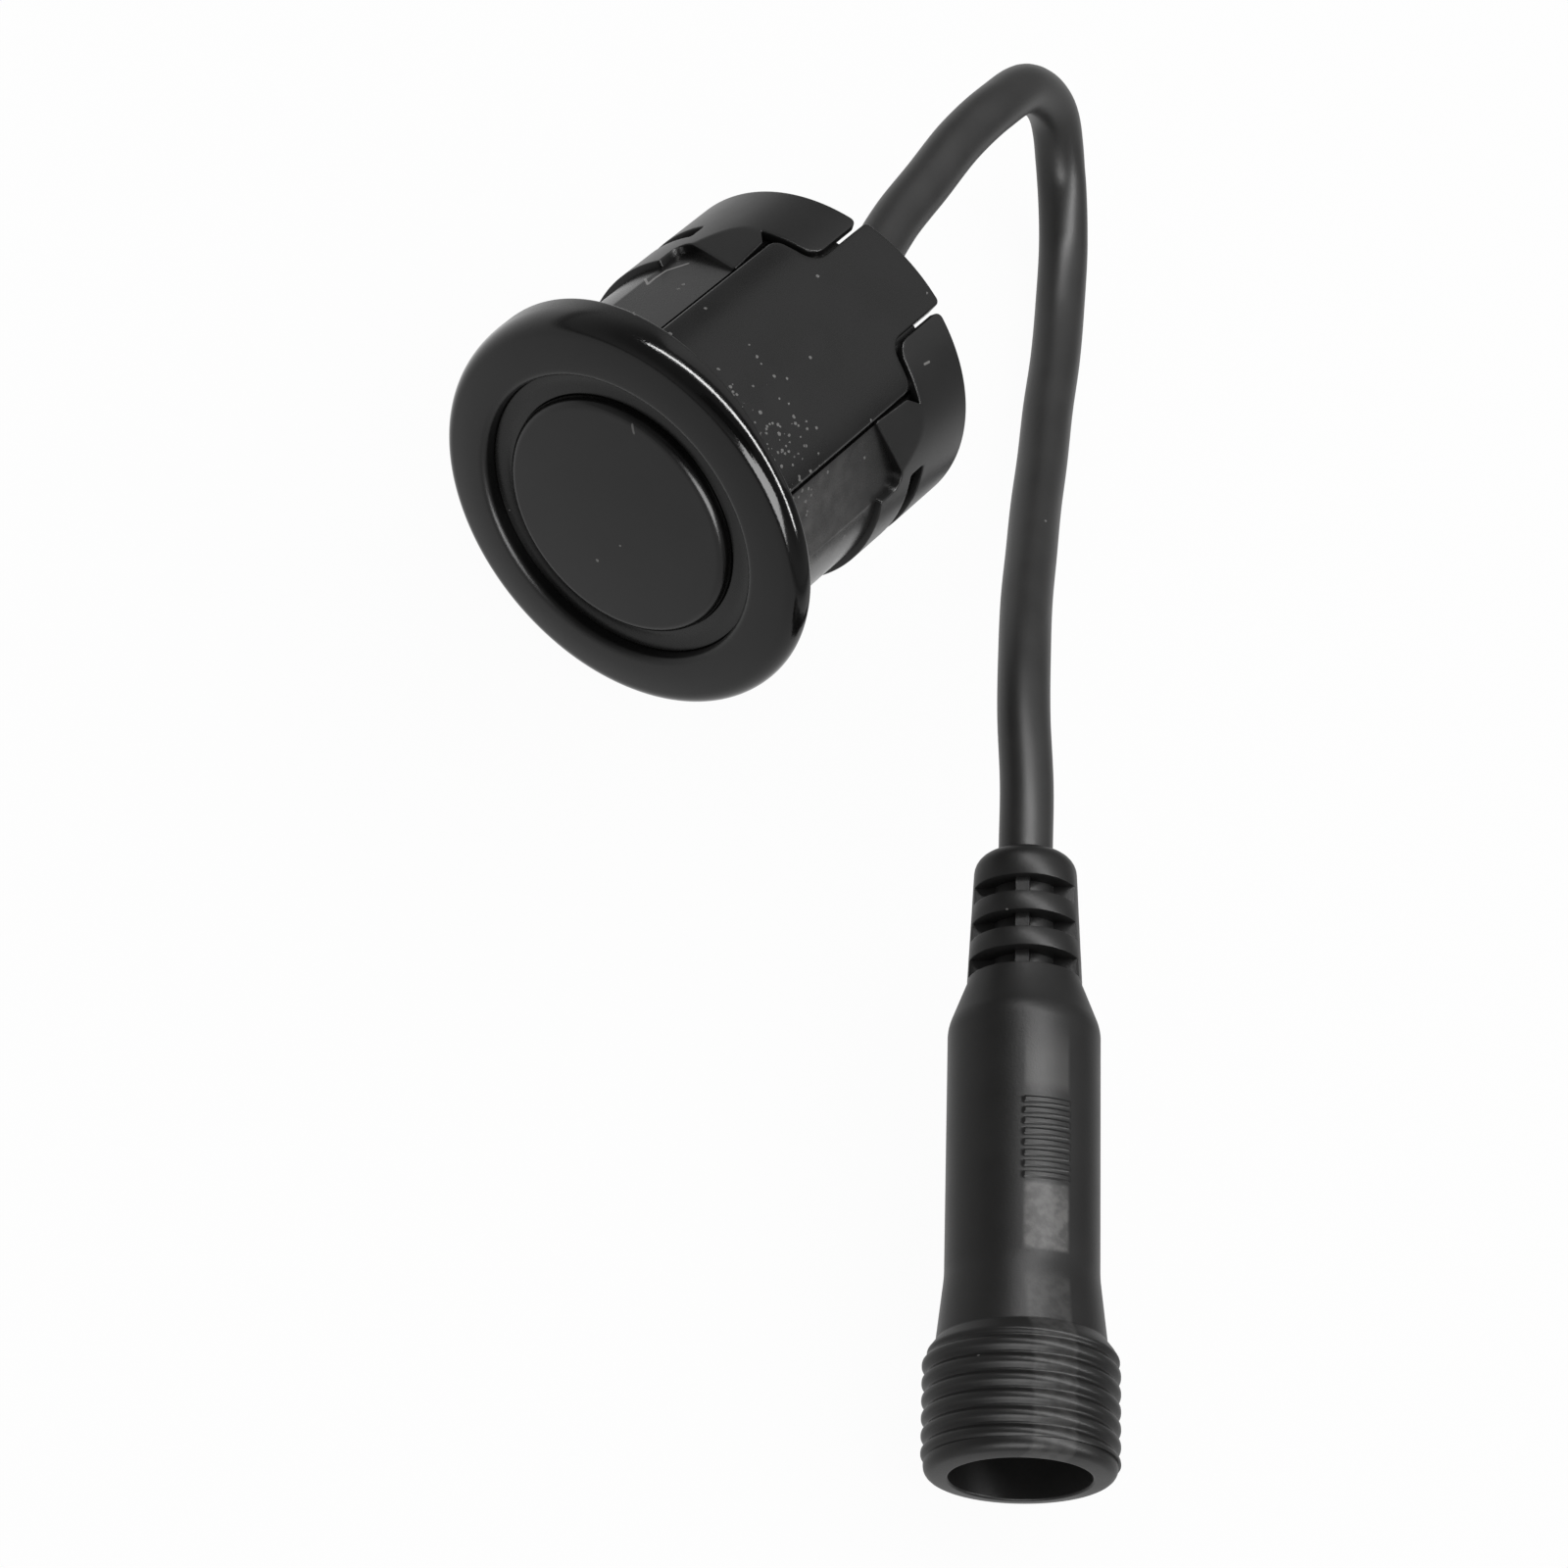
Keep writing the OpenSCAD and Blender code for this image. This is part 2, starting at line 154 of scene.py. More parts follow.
lens = bpy.data.cameras.new("camera")
lens.lens = 112.5
lens.sensor_width = 36
lens.clip_start = 0.01
camera = bpy.data.objects.new("camera", lens)
turn = np.stack([picture_right, picture_up, np.cross(picture_right, picture_up)], axis=1)
camera.matrix_world = Matrix.LocRotScale(Vector(eye * mm), Matrix(turn.tolist()), None)
bpy.context.collection.objects.link(camera)
bpy.context.scene.camera = camera
bpy.context.scene.view_settings.view_transform = "Standard"

tent = bpy.data.worlds.new("tent")
bpy.context.scene.world = tent
tent.use_nodes = True
tent.node_tree.nodes["Background"].inputs["Color"].default_value = (1, 1, 1, 1)
tent_ray = Wire(tent.node_tree).node("LightPath", {}, {}, "Is Glossy Ray")
tent_height = tent_ray.node("TexCoord", {}, {}, "Generated").axis("Z").step(*tent_fade)
tent_shown = tent_wall - (tent_wall - tent_top) * tent_height
tent_strength = tent_level + tent_ray * (tent_shown - tent_level)
tent.node_tree.links.new(tent_strength.socket, tent.node_tree.nodes["Background"].inputs["Strength"])


def facing(toward, distance):
    """The place at a distance in a direction from the sensor, turned to it, with its width along X."""
    toward = np.array(toward) / np.linalg.norm(toward)
    height = np.cross(toward, [1, 0, 0])
    height /= np.linalg.norm(height)
    turn = np.stack([np.cross(height, toward), height, toward], axis=1)
    return Matrix.LocRotScale(Vector(toward * distance * mm), Matrix(turn.tolist()), None)


for name, (toward, distance, width, height, level) in lamps.items():
    lamp = bpy.data.lights.new(name, "AREA")
    lamp.shape = "RECTANGLE"
    lamp.size = width * mm
    lamp.size_y = height * mm
    lamp.energy = level * np.pi * width * height * mm**2
    box = bpy.data.objects.new(name, lamp)
    box.matrix_world = facing(toward, distance)
    box.visible_diffuse = name not in glints
    bpy.context.collection.objects.link(box)


def sheet(name, half, place):
    """A square sheet of the stage, with an empty finish of its own."""
    ends = [(-half, -half, 0), (half, -half, 0), (half, half, 0), (-half, half, 0)]
    mesh = bpy.data.meshes.new(name)
    mesh.from_pydata(ends, [], [(0, 1, 2, 3)])
    made = bpy.data.objects.new(name, mesh)
    made.matrix_world = place
    bpy.context.collection.objects.link(made)
    finish = bpy.data.materials.new(name)
    finish.use_nodes = True
    mesh.materials.append(finish)
    return finish


def mix(share, first, second):
    """A colour between two colours by a wire's share."""
    return share.node("Mix", {"data_type": "RGBA"}, {0: share, 6: first, 7: second}, 2)


def grey(level):
    """A neutral colour of a given level."""
    return (level, level, level, 1)


flag_finish = sheet("flag", flag_half * mm, facing(flag_toward, flag_distance))
flag_finish.node_tree.nodes["Principled BSDF"].inputs["Base Color"].default_value = grey(flag_paint)
table_finish = sheet("table", table_size / 2, Matrix.Translation((0, 0, cad_box[0][2])))
ray = Wire(table_finish.node_tree).node("LightPath", {}, {}, "Is Camera Ray")
seen = ray.highest(ray.twin("Is Glossy Ray")).highest(ray.twin("Is Transmission Ray"))
lit = ray.node("BsdfDiffuse", {}, {"Color": grey(table_paint)})
# seen in reflections, the table is white near the sensor and dark grey far from it: a painted pool of light
spot = ray.node("TexCoord", {}, {}, "Object")
away = spot.vector("LENGTH", output="Value").step(*table_fade)
table_tone = mix(away * ray.twin("Is Glossy Ray"), grey(1), grey(table_far))
glow = ray.node("Emission", {}, {"Color": table_tone, "Strength": 1.0})
shown = ray.node("MixShader", {}, {0: seen * (1 - table_lit), 1: lit, 2: glow})
table_surface = table_finish.node_tree.nodes["Material Output"].inputs["Surface"]
table_finish.node_tree.links.new(shown.socket, table_surface)


# Plug
# The lead ends in a waterproof plug of soft black plastic, moulded round the cable in one shot: a slotted
# strain relief, a barrel with a gripping strip, a flare and an outside thread round an open mouth.
plug_at = np.array([31.35, 7.7, -4.25])
plug_turn = np.radians(-49.5)
plug_dip = np.radians(4.4)
plug_len = 38.9
slot_turn = np.radians(-34)
relief_r = 3.05
relief_end_r = 3.45
relief_len = 8.4
relief_round = 1.2
slot_first = 2.35
slot_pitch = 2.35
slot_w = 1.1
slot_floor_r = 2.05
web_half = 1.05
rib_half = 0.425
rib_top = 2.65
slot_edge = 0.07
slot_soft = 0.3 * slot_edge
slot_deep = 9.0
barrel_r = 4.55
shoulder_end = 11.3
shoulder_round = 3
flare_at = 26.8
flare_round = 8
flare_r = 5.0
flare_end = 30.8
flare_edge = 0.3
thread_r = 5.75
thread_at = 31.4
thread_pitch = 1.05
thread_depth = 0.3
thread_full = 1.6
thread_fade = 0.5
thread_end = 38.0
mouth_rim_r = thread_r - 0.5 * thread_depth
mouth_rim_round = 0.6
mouth_lip_round = 0.15
mouth_slope = 0.2
mouth_r = 4.15
mouth_at = 31.4
mouth_edge = 0.1
chamber_r = 3.3
chamber_at = 20.4
strip_turn = np.radians(-12)
strip_half = np.radians(19)
strip_from = 17.0
strip_to = 22.3
strip_ribs = 8
strip_rise = 0.09
strip_fade = np.radians(2)
strip_margin = 0.5
strip_columns = 90
patch_to = 26.6
patch_edge = 0.3
smear_and_sheen_at = (12.0, 15.0)
fine_step = 0.06
plug_degrees = 2.5
tiny = 1e-6
weld = 1e-7
crease = np.radians(32)
dust_spacing = 0.3
dust_size = 0.15
dust_rise = 0.02
dust_tone = 0.16
# grey of the lighter marks: wear in places, painted sheen in others
wear_and_sheen_tone = 0.2
plug_along = np.array([
    np.cos(plug_dip) * np.cos(plug_turn),
    np.cos(plug_dip) * np.sin(plug_turn),
    -np.sin(plug_dip),
])
plug_side = np.array([-np.sin(plug_turn), np.cos(plug_turn), 0])
plug_top = np.cross(plug_along, plug_side)


def grid_faces(rows, columns, closed=False):
    """Quads between the points of a grid, row by row. Columns join up round; closed rows do too."""
    row = np.arange(rows if closed else rows - 1)[:, None]
    column = np.arange(columns)[None, :]
    ahead = (column + 1) % columns
    over = (row + 1) % rows
    quads = [row * columns + column, row * columns + ahead, over * columns + ahead, over * columns + column]
    return np.stack(quads, axis=-1).reshape(-1, 4)


def add_piece(name, parts, finish, slot, *nodes):
    """One mesh object made of several surfaces, each given as its points in millimetres and its faces. Points
    that meet are joined, all faces are turned outwards, and the object stands for the nodes named."""
    start = np.cumsum([0] + [len(points) for points, faces in parts])
    points = np.vstack([points for points, faces in parts]) * mm
    faces = [face for (_, own), first in zip(parts, start) for face in (own + first).tolist()]
    mesh = bpy.data.meshes.new(name)
    mesh.from_pydata(points.tolist(), [], faces)
    work = bmesh.new()
    work.from_mesh(mesh)
    bmesh.ops.remove_doubles(work, verts=work.verts, dist=weld)
    bmesh.ops.recalc_face_normals(work, faces=work.faces)
    work.to_mesh(mesh)
    work.free()
    mesh.shade_smooth()
    mesh.set_sharp_from_angle(angle=crease)
    mesh.materials.append(finish)
    piece = bpy.data.objects.new(name, mesh)
    bpy.context.collection.objects.link(piece)
    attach(piece, "root")
    if nodes:
        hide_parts(*nodes)
    return piece


def rounded(corners, steps=6):
    """The line through corners given as across, along and rounding. Each corner becomes an arc, which starts
    and ends where a circle of that radius touches the two sides. The ends of the line stay as they are."""
    corners = np.array(corners, float)
    line = [corners[:1, :2]]
    for before, here, after in zip(corners[:-2], corners[1:-1], corners[2:]):
        back = (before[:2] - here[:2]) / np.linalg.norm(before[:2] - here[:2])
        ahead = (after[:2] - here[:2]) / np.linalg.norm(after[:2] - here[:2])
        half_angle = np.arccos(np.clip(back @ ahead, -1, 1)) / 2
        if here[2] == 0:
            line.append(here[None, :2])
            continue
        middle = here[:2] + (back + ahead) / np.linalg.norm(back + ahead) * here[2] / np.sin(half_angle)
        first = here[:2] + back * here[2] / np.tan(half_angle) - middle
        last = here[:2] + ahead * here[2] / np.tan(half_angle) - middle
        sweep = np.pi - 2 * half_angle
        share = np.linspace(0, 1, steps + 1)[:, None]
        swing = np.sin((1 - share) * sweep) * first + np.sin(share * sweep) * last
        line.append(middle + swing / np.sin(sweep))
    line.append(corners[-1:, :2])
    return np.vstack(line)


def plug_rows(section, angles, radius):
    """Points of the plug: rows of axis position by columns of angle from its top, at the radius of each."""
    along = plug_at + section[:, None, None] * plug_along
    out = np.cos(angles)[:, None] * plug_top + np.sin(angles)[:, None] * plug_side
    return (along + radius[:, :, None] * out[None, :, :]).reshape(-1, 3)


# angles round the plug, closer together over the gripping strip
plug_angles = np.unique(np.round(np.concatenate([
    np.radians(np.arange(-180, 180, plug_degrees)),
    strip_turn + np.linspace(-strip_half, strip_half, strip_columns),
]), 6))
from_slot = plug_angles - slot_turn

# strain relief: inside a slot only the floor, the two side webs and a low rib stand
relief = rounded([(0, 0, 0), (relief_r, 0, relief_round), (relief_end_r, relief_len, 0)], 8)
web = web_half / np.maximum(np.abs(np.cos(from_slot)), tiny)
rib = np.minimum(rib_top / np.maximum(np.abs(np.cos(from_slot)), tiny),
                 rib_half / np.maximum(np.abs(np.sin(from_slot)), tiny))
relief_rows = [(along, across, 0.0) for across, along in relief[:-1]]
for start in slot_first + slot_pitch * np.arange(3):
    end = start + slot_w
    wall = [relief_r + (relief_end_r - relief_r) * along / relief_len for along in (start, end)]
    relief_rows += [(start - slot_edge, wall[0], 0.0), (start - slot_soft, wall[0], slot_soft)]
    relief_rows += [(start, wall[0], slot_edge), (start, wall[0], slot_deep)]
    relief_rows += [(end, wall[1], slot_deep), (end, wall[1], slot_edge)]
    relief_rows += [(end + slot_soft, wall[1], slot_soft), (end + slot_edge, wall[1], 0.0)]
relief_rows = np.array(relief_rows)
relief_wall = relief_rows[:, 1, None] + 0 * from_slot
slot_bottom = np.maximum(slot_floor_r, np.maximum(np.minimum(relief_wall, web), rib))
relief_radius = np.maximum(relief_wall - relief_rows[:, 2, None], np.minimum(slot_bottom, relief_wall))

# shoulder, barrel and flare, with the fine ribs of the strip standing on the barrel
barrel = rounded([
    (relief_end_r, relief_len, 0),
    (barrel_r, shoulder_end, shoulder_round), (barrel_r, flare_at, flare_round),
    (flare_r, flare_end, flare_edge), (thread_r - thread_depth, thread_at, 0),
], 10)
strip_along = np.arange(strip_from - strip_margin, strip_to + strip_margin, fine_step)
barrel_along = np.unique(np.concatenate([barrel[:, 1], strip_along]))
rib_wave = np.cos(2 * np.pi * strip_ribs * (barrel_along - strip_from) / (strip_to - strip_from))
on_strip = (barrel_along > strip_from) & (barrel_along < strip_to)
rib_height = strip_rise * on_strip * np.clip(0.5 - 1.5 * rib_wave, 0, 1)
strip_edge = np.clip((strip_half - np.abs(plug_angles - strip_turn)) / strip_fade, 0, 1)
plain_radius = np.interp(barrel_along, barrel[:, 1], barrel[:, 0])
barrel_radius = plain_radius[:, None] + rib_height[:, None] * strip_edge

# thread: a rounded ridge that climbs one pitch a turn and rises from nothing next to the flare
thread_along = np.arange(thread_at, thread_end, fine_step)
climb = 2 * np.pi * (thread_along[:, None] / thread_pitch) - plug_angles
ridge = 0.5 + 0.5 * np.cos(climb)
fade = np.clip((thread_along - thread_at) / thread_fade, 0, 1)[:, None]
thread_radius = thread_r - thread_depth + thread_depth * fade * (1 - (1 - ridge) ** thread_full)

# rim, mouth and the chamber behind it
mouth = rounded([
    (mouth_rim_r, thread_end, 0), (mouth_rim_r, plug_len - mouth_slope, mouth_rim_round),
    (mouth_r, plug_len, mouth_lip_round), (mouth_r, mouth_at, mouth_edge), (chamber_r, mouth_at, mouth_edge),
    (chamber_r, chamber_at, mouth_edge), (0, chamber_at, 0),
])
mouth_radius = mouth[:, 0, None] + 0 * plug_angles

plug_section = np.concatenate([relief_rows[:, 0], barrel_along, thread_along, mouth[:, 1]])
plug_radius = np.vstack([relief_radius, barrel_radius, thread_radius, mouth_radius])
plug_points = plug_rows(plug_section, plug_angles, plug_radius)


def new_finish(name):
    """An empty finish, and the place on its piece in millimetres."""
    finish = bpy.data.materials.new(name)
    finish.use_nodes = True
    place = Wire(finish.node_tree).node("TexCoord", {}, {}, "Object")
    return finish, place.node("VectorMath", {"operation": "SCALE"}, {0: place, "Scale": 1 / mm})


def coat(finish, colour, roughness, relief=None, shine=0.25):
    """Feeds a finish's shader: the wires of its colour and its roughness, that of a relief in millimetres
    where it has one, and how strongly it mirrors."""
    shader = finish.node_tree.nodes["Principled BSDF"]
    link = finish.node_tree.links.new
    link(colour.socket, shader.inputs["Base Color"])
    link(roughness.socket, shader.inputs["Roughness"])
    shader.inputs["Specular IOR Level"].default_value = shine
    if relief:
        bump = relief.node("Bump", {}, {"Height": relief, "Distance": mm, "Strength": 1.0}, "Normal")
        link(bump.socket, shader.inputs["Normal"])


def black(level):
    """A black a touch warmer than neutral, of a given level."""
    return (level * 1.02, level, level * 0.98, 1)


def noise(place, scale, detail):
    """A cloudy value over a piece, with a number of clouds to the millimetre and a number of finer layers."""
    return place.node("TexNoise", {}, {"Vector": place, "Scale": scale, "Detail": detail})


def specks(place, spacing, size, share):
    """Where dust lies: one grain to a cell of a spacing, of up to a size, in a share of the cells."""
    cells = place.node("TexVoronoi", {}, {"Vector": place, "Scale": 1 / spacing}, "Distance")
    chance = cells.node("TexWhiteNoise", {}, {"Vector": cells.twin("Position")})
    reach = (size / spacing) * chance.step(1 - share, 1.0)
    return (reach - cells).step(0.0, 0.25 * size / spacing)


def moulded(name, level, roughness, grain, depth, dust=0.002, wear_and_sheen=None, shine=0.25):
    """Black moulded plastic: a cloudy tone, a fine grain from the mould that also breaks up the gloss, dust
    on a share of its skin, and a lighter grey mark, which is real wear on some pieces and painted sheen on
    others. Roughness and dust may be functions of the place."""
    finish, place = new_finish(name)
    cloud = noise(place, 0.35, 3.0)
    pits = noise(place, 1 / grain, 2.0)
    share = dust(place) if callable(dust) else dust
    grains = specks(place, dust_spacing, dust_size, share)
    gloss = roughness(place) if callable(roughness) else roughness
    tone = mix(cloud, black(0.7 * level), black(1.3 * level))
    # the lighter grey mark: wear on some pieces, painted sheen on the plug and on the housing's right flat
    if wear_and_sheen:
        tone = mix(wear_and_sheen(place), tone, black(wear_and_sheen_tone))
    uneven = gloss + 0.1 * (cloud - 0.5) + 0.08 * (pits - 0.5) + 0.3 * grains
    coat(finish, mix(grains, tone, black(dust_tone)), uneven, depth * pits + dust_rise * grains, shine)
    return finish


def plug_wear_and_sheen(place):
    """How far a place on the plug is turned lighter grey: most in a patch between two lengths beyond the
    strip, and a little before the strip and beyond the patch, all of it between the strip's two sides on its
    upper half. The lighter grey is partly wear on the rough patch and partly painted sheen of the light from
    above."""
    spot = place.vector("SUBTRACT", tuple(plug_at))
    axes = (plug_along, plug_side, plug_top)
    along, side, high = (spot.vector("DOT_PRODUCT", tuple(axis), "Value") for axis in axes)
    left, right = barrel_r * np.sin(strip_turn + strip_half * np.array([-1, 1]))
    sides = side.step(left, left + patch_edge) * side.step(right, right - patch_edge) * high.step(0.0, 1.0)
    patchy = 0.45 + 0.55 * noise(place, 1.6, 4.0).step(0.35, 0.65)
    wear_and_sheen = along.step(strip_to, strip_to + patch_edge) * along.step(patch_to, patch_to - patch_edge) * patchy
    smear_and_sheen = 0.35 * along.step(*smear_and_sheen_at) * along.step(strip_from, strip_from - 1.0)
    below = 0.3 * along.step(patch_to + 1.0, patch_to + 2.0) * patchy
    return 0.7 * (sides * (wear_and_sheen + smear_and_sheen + below))


# the lighter grey on the plug's top is partly wear and partly painted sheen of the light from above
plug_finish = moulded("plug_plastic", 0.013, 0.42, 0.12, 0.006, wear_and_sheen=plug_wear_and_sheen, shine=0.16)
plug = add_piece("plug", [(plug_points, grid_faces(len(plug_section), len(plug_angles)))], plug_finish,
                 "connector_pvc", "connector_shell")


# Contacts
# Two pins turned from brass stand in a carrier moulded from black plastic, which is pressed into the
# chamber behind the plug's mouth.
carrier_finish = moulded("carrier_plastic", 0.02, 0.5, 0.2, 0.004)
brass, brass_place = new_finish("pin_brass")
turning = noise(brass_place, 6.0, 3.0)
coat(brass, mix(turning, (0.55, 0.40, 0.15, 1), (0.70, 0.53, 0.24, 1)), 0.25 + 0.15 * turning)
brass.node_tree.nodes["Principled BSDF"].inputs["Metallic"].default_value = 1.0


def dress(node, finish):
    """Gives a node of the frame its finish."""
    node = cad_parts[node]
    node.data.materials.clear()
    node.data.materials.append(finish)
    return node


contacts = [dress("contact_carrier", carrier_finish), dress("pin_live", brass), dress("pin_return", brass)]


# Cable
# Two cores in a round jacket of black PVC, 3.3 mm thick. It leaves the boss of the rear cap, bows over and
# runs down to the plug, which is moulded on to it.
cable_r = 1.65
cable_sides = 28
cable_steps = 12
boss_len = 1.6
route = np.array([
    [0, 19, 0], [-0.5, 23.75, -0.25], [-2, 28.25, -1], [-3.25, 33, -1.25], [-4, 37.75, -1.25],
    [-4.75, 42.5, -1.25], [-5, 47.25, -1.5], [-4.75, 52, -2.75], [-2.75, 55.22, -5.5], [0.5, 55.47, -9],
    [4, 53, -10.75], [7, 49.25, -11.25], [9.5, 45.25, -11], [11.75, 41, -10.5], [14, 36.75, -9.75],
    [16, 32.5, -8.75], [18, 28.25, -7.5], [20, 24, -6.25], [22.25, 19.75, -5], [25, 15.5, -4.25],
    [28.25, 11.5, -4], [31.35, 7.7, -4.25],
])


def smooth_line(points, before, after, steps):
    """A line through points. Between two of them it is the cubic that leaves each along the chord of its
    neighbours; the points before the first and after the last only give the direction at the ends."""
    guide = np.vstack([before, points, after])
    t = np.arange(steps)[None, :, None] / steps
    p, q, r, s = (guide[k : len(guide) - 3 + k, None] for k in range(4))
    line = q + 0.5 * t * (r - p + t * (2 * p - 5 * q + 4 * r - s + t * (3 * (q - r) + s - p)))
    return np.vstack([line.reshape(-1, 3), points[-1]])


def tube(line, radius, sides):
    """A circle carried along a line, square to it, with both ends closed to a point."""
    along = np.gradient(line, axis=0)
    along /= np.linalg.norm(along, axis=1)[:, None]
    across = np.cross(along, [0, 0, 1])
    across /= np.linalg.norm(across, axis=1)[:, None]
    rise = np.cross(across, along)
    angle = np.arange(sides)[None, :, None] * 2 * np.pi / sides
    ring = line[:, None] + radius * (np.cos(angle) * across[:, None] + np.sin(angle) * rise[:, None])
    rows = np.concatenate([np.repeat(line[:1, None], sides, 1), ring, np.repeat(line[-1:, None], sides, 1)])
    return rows.reshape(-1, 3), grid_faces(len(rows), sides)


cable_line = smooth_line(route, route[0] - [0, boss_len, 0], plug_at + relief_len * plug_along, cable_steps)
cable_finish = moulded("cable_pvc", 0.022, 0.42, 0.15, 0.004)
cable_tube = tube(cable_line, cable_r, cable_sides)
cable = add_piece("cable", [cable_tube], cable_finish, "cable_pvc", "cable_jacket")


# Housing
# One shot of black plastic: a crowned flange that stays in view on the bumper, a round body with four flats,
# and on top a raised tongue with a narrow tab, which keeps the clip from turning.
housing_low, housing_high = np.array(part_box("housing")) / mm
flange_r = housing_high[0]
tab_back = housing_high[1]
lip_y = housing_low[1]
lip_r = 9.45
lip_round = 0.45
rim_round = 1.2
rim_level = -0.37
rim_steps = 10
rim_draw = 0.5
skirt_round = 0.36
skirt_t = 1.2
skirt_gap = 0.05
skirt_slope = np.tan(np.radians(6.3))
skirt_from = 3.5
housing_r = 10.5
housing_back = 17.4
housing_round = 0.15
housing_steps = 4
housing_turn = 1.5
bore_r = 9.0
ring_seat = 6.0
flat_turn = 48.4
flat_half = 14.9
tongue_r = 10.9
tongue_half = 6.0
tongue_back = 14.5
tongue_round = 0.6
tab_half = 3.25
tab_fillet = 1.0
tab_round = 0.3
tab_t = 1.0
seam_w = 0.25
seam_depth = 0.45
pocket_from = 13.5
pocket_to = 14.85
pocket_half = 5.05
pocket_depth = 0.9
mould_edge = 0.12
tongue_spacing = 0.4
sliver = 0.01
sliver_turn = 0.05
far = 40.0
lint = [
    (-9.5, 8.88, 4.59), (-9.05, 8.28, 5.09), (-9.08, 9.03, 5.06),
    (-9.0, 10.07, 5.14), (-8.46, 11.16, 5.76),
]


def turned(section, angles, out=0, back=0, closed=False):
    """A section of radius and axis position carried round the sensor's axis, angles counted from the top.
    Each row may be moved out and back by an amount of its own at every angle."""
    radius = section[:, 0, None] + 0 * angles + out
    along = section[:, 1, None] + 0 * angles + back
    points = np.stack([radius * np.sin(angles), along, radius * np.cos(angles)], axis=-1)
    return points.reshape(-1, 3), grid_faces(len(section), len(angles), closed)


def arc(middle, radius, start, end, steps):
    """Points on a circle about a middle, from one angle to another, in radians from the radius direction."""
    angle = np.linspace(start, end, steps + 1)
    return np.stack([middle[0] + radius * np.cos(angle), middle[1] + radius * np.sin(angle)], axis=-1)


def body_radius_at(angles):
    """Radius of the body: round, cut by four flats that lie at one angle from the top and the bottom."""
    off = np.abs((np.degrees(angles) + 90) % 180 - 90)
    flat = housing_r * np.cos(np.radians(flat_half)) / np.cos(np.radians(off - flat_turn))
    return np.where(np.abs(off - flat_turn) < flat_half, flat, housing_r)


# the crown starts level at the lip and ends on the circle of the rim
rim_at = np.array([flange_r - rim_round, rim_level])
crown_x = lip_r + lip_round
span = rim_at[0] - crown_x
drop = rim_at[1] - lip_y
crown_r = (span**2 + drop**2 - rim_round**2) / (2 * (drop - rim_round))
crown_at = np.array([crown_x, lip_y + crown_r])
crown_end = np.arctan2(*(rim_at - crown_at)[::-1])
front_section = np.vstack([
    [(lip_r, ring_seat)],
    arc((crown_x, lip_y + lip_round), lip_round, -np.pi, -np.pi / 2, 8)[:-1],
    arc(crown_at, crown_r, -np.pi / 2, crown_end, 16)[:-1],
    arc(rim_at, rim_round, crown_end, 0, rim_steps),
])
skirt_section = np.vstack([
    arc((flange_r - skirt_round, -skirt_round), skirt_round, 0, np.pi / 2, 8),
    [(flange_r - skirt_t + skirt_gap, 0)],
])
seat_section = [(flange_r - skirt_t, 0), (housing_r + sliver, 0)]
pocket_rows = (0, pocket_from, pocket_from + sliver, pocket_to - sliver, pocket_to)
body_section = np.vstack([
    [(housing_r, along) for along in pocket_rows],
    rounded([(housing_r, pocket_to + sliver, 0), (housing_r, housing_back, housing_round),
             (bore_r, housing_back, housing_round), (bore_r, ring_seat, 0)], housing_steps),
])
housing_section = np.vstack([front_section, skirt_section, seat_section, body_section])

# angles round the body, with pairs close together at the walls of the seams and the pockets
seam_edges = np.degrees(np.arcsin(np.array([tongue_half, tongue_half + seam_w]) / housing_r))
pocket_edge = np.degrees(np.arccos(pocket_half / housing_r))
flat_edges = flat_turn + flat_half * np.array([-1, 1])
wall_edges = np.array([*seam_edges, pocket_edge, 180 - pocket_edge])
corners = np.concatenate([flat_edges, 180 - flat_edges, wall_edges - sliver_turn, wall_edges + sliver_turn])
housing_degrees = np.concatenate([np.arange(0, 360, housing_turn), corners, 360 - corners])
housing_angles = np.radians(np.unique(np.round(housing_degrees, 4)))
off_top = np.degrees(np.minimum(housing_angles, 2 * np.pi - housing_angles))
seam = (off_top > seam_edges[0]) & (off_top < seam_edges[1])
pocket = (off_top > pocket_edge) & (off_top < 180 - pocket_edge)

# the skirt's rear edge lies on a slanted plane, and the rim is drawn back towards it; the body's outside has
# the flats, the seams and the pockets, and the last rows of its section, in the bore, have none of them
back = np.zeros((len(housing_section), len(housing_angles)))
skirt = slice(len(front_section), len(front_section) + len(skirt_section))
skirt_x = housing_section[skirt, 0, None] * np.sin(housing_angles)
back[skirt] = np.maximum(0, skirt_slope * (skirt_from - skirt_x))
rim_rows = slice(skirt.start - rim_steps - 1, skirt.start)
back[rim_rows] = rim_draw * np.linspace(0, 1, rim_steps + 1)[:, None] ** 2 * back[skirt.start]
out = np.zeros_like(back)
bore_rows = housing_steps + 2
body_rows = slice(len(housing_section) - len(body_section), len(housing_section) - bore_rows)
out[body_rows] = np.minimum(0, body_radius_at(housing_angles) - housing_r) - seam_depth * seam
sunk = (housing_section[:, 1] > pocket_from) & (housing_section[:, 1] < pocket_to)
out[body_rows] -= pocket_depth * sunk[body_rows, None] * pocket
shell = turned(housing_section, housing_angles, out, back, closed=True)


def mirrored(half_line):
    """A closed outline from its right half, which starts and ends on the middle line."""
    return np.vstack([half_line, (half_line * [-1, 1])[-2:0:-1]])


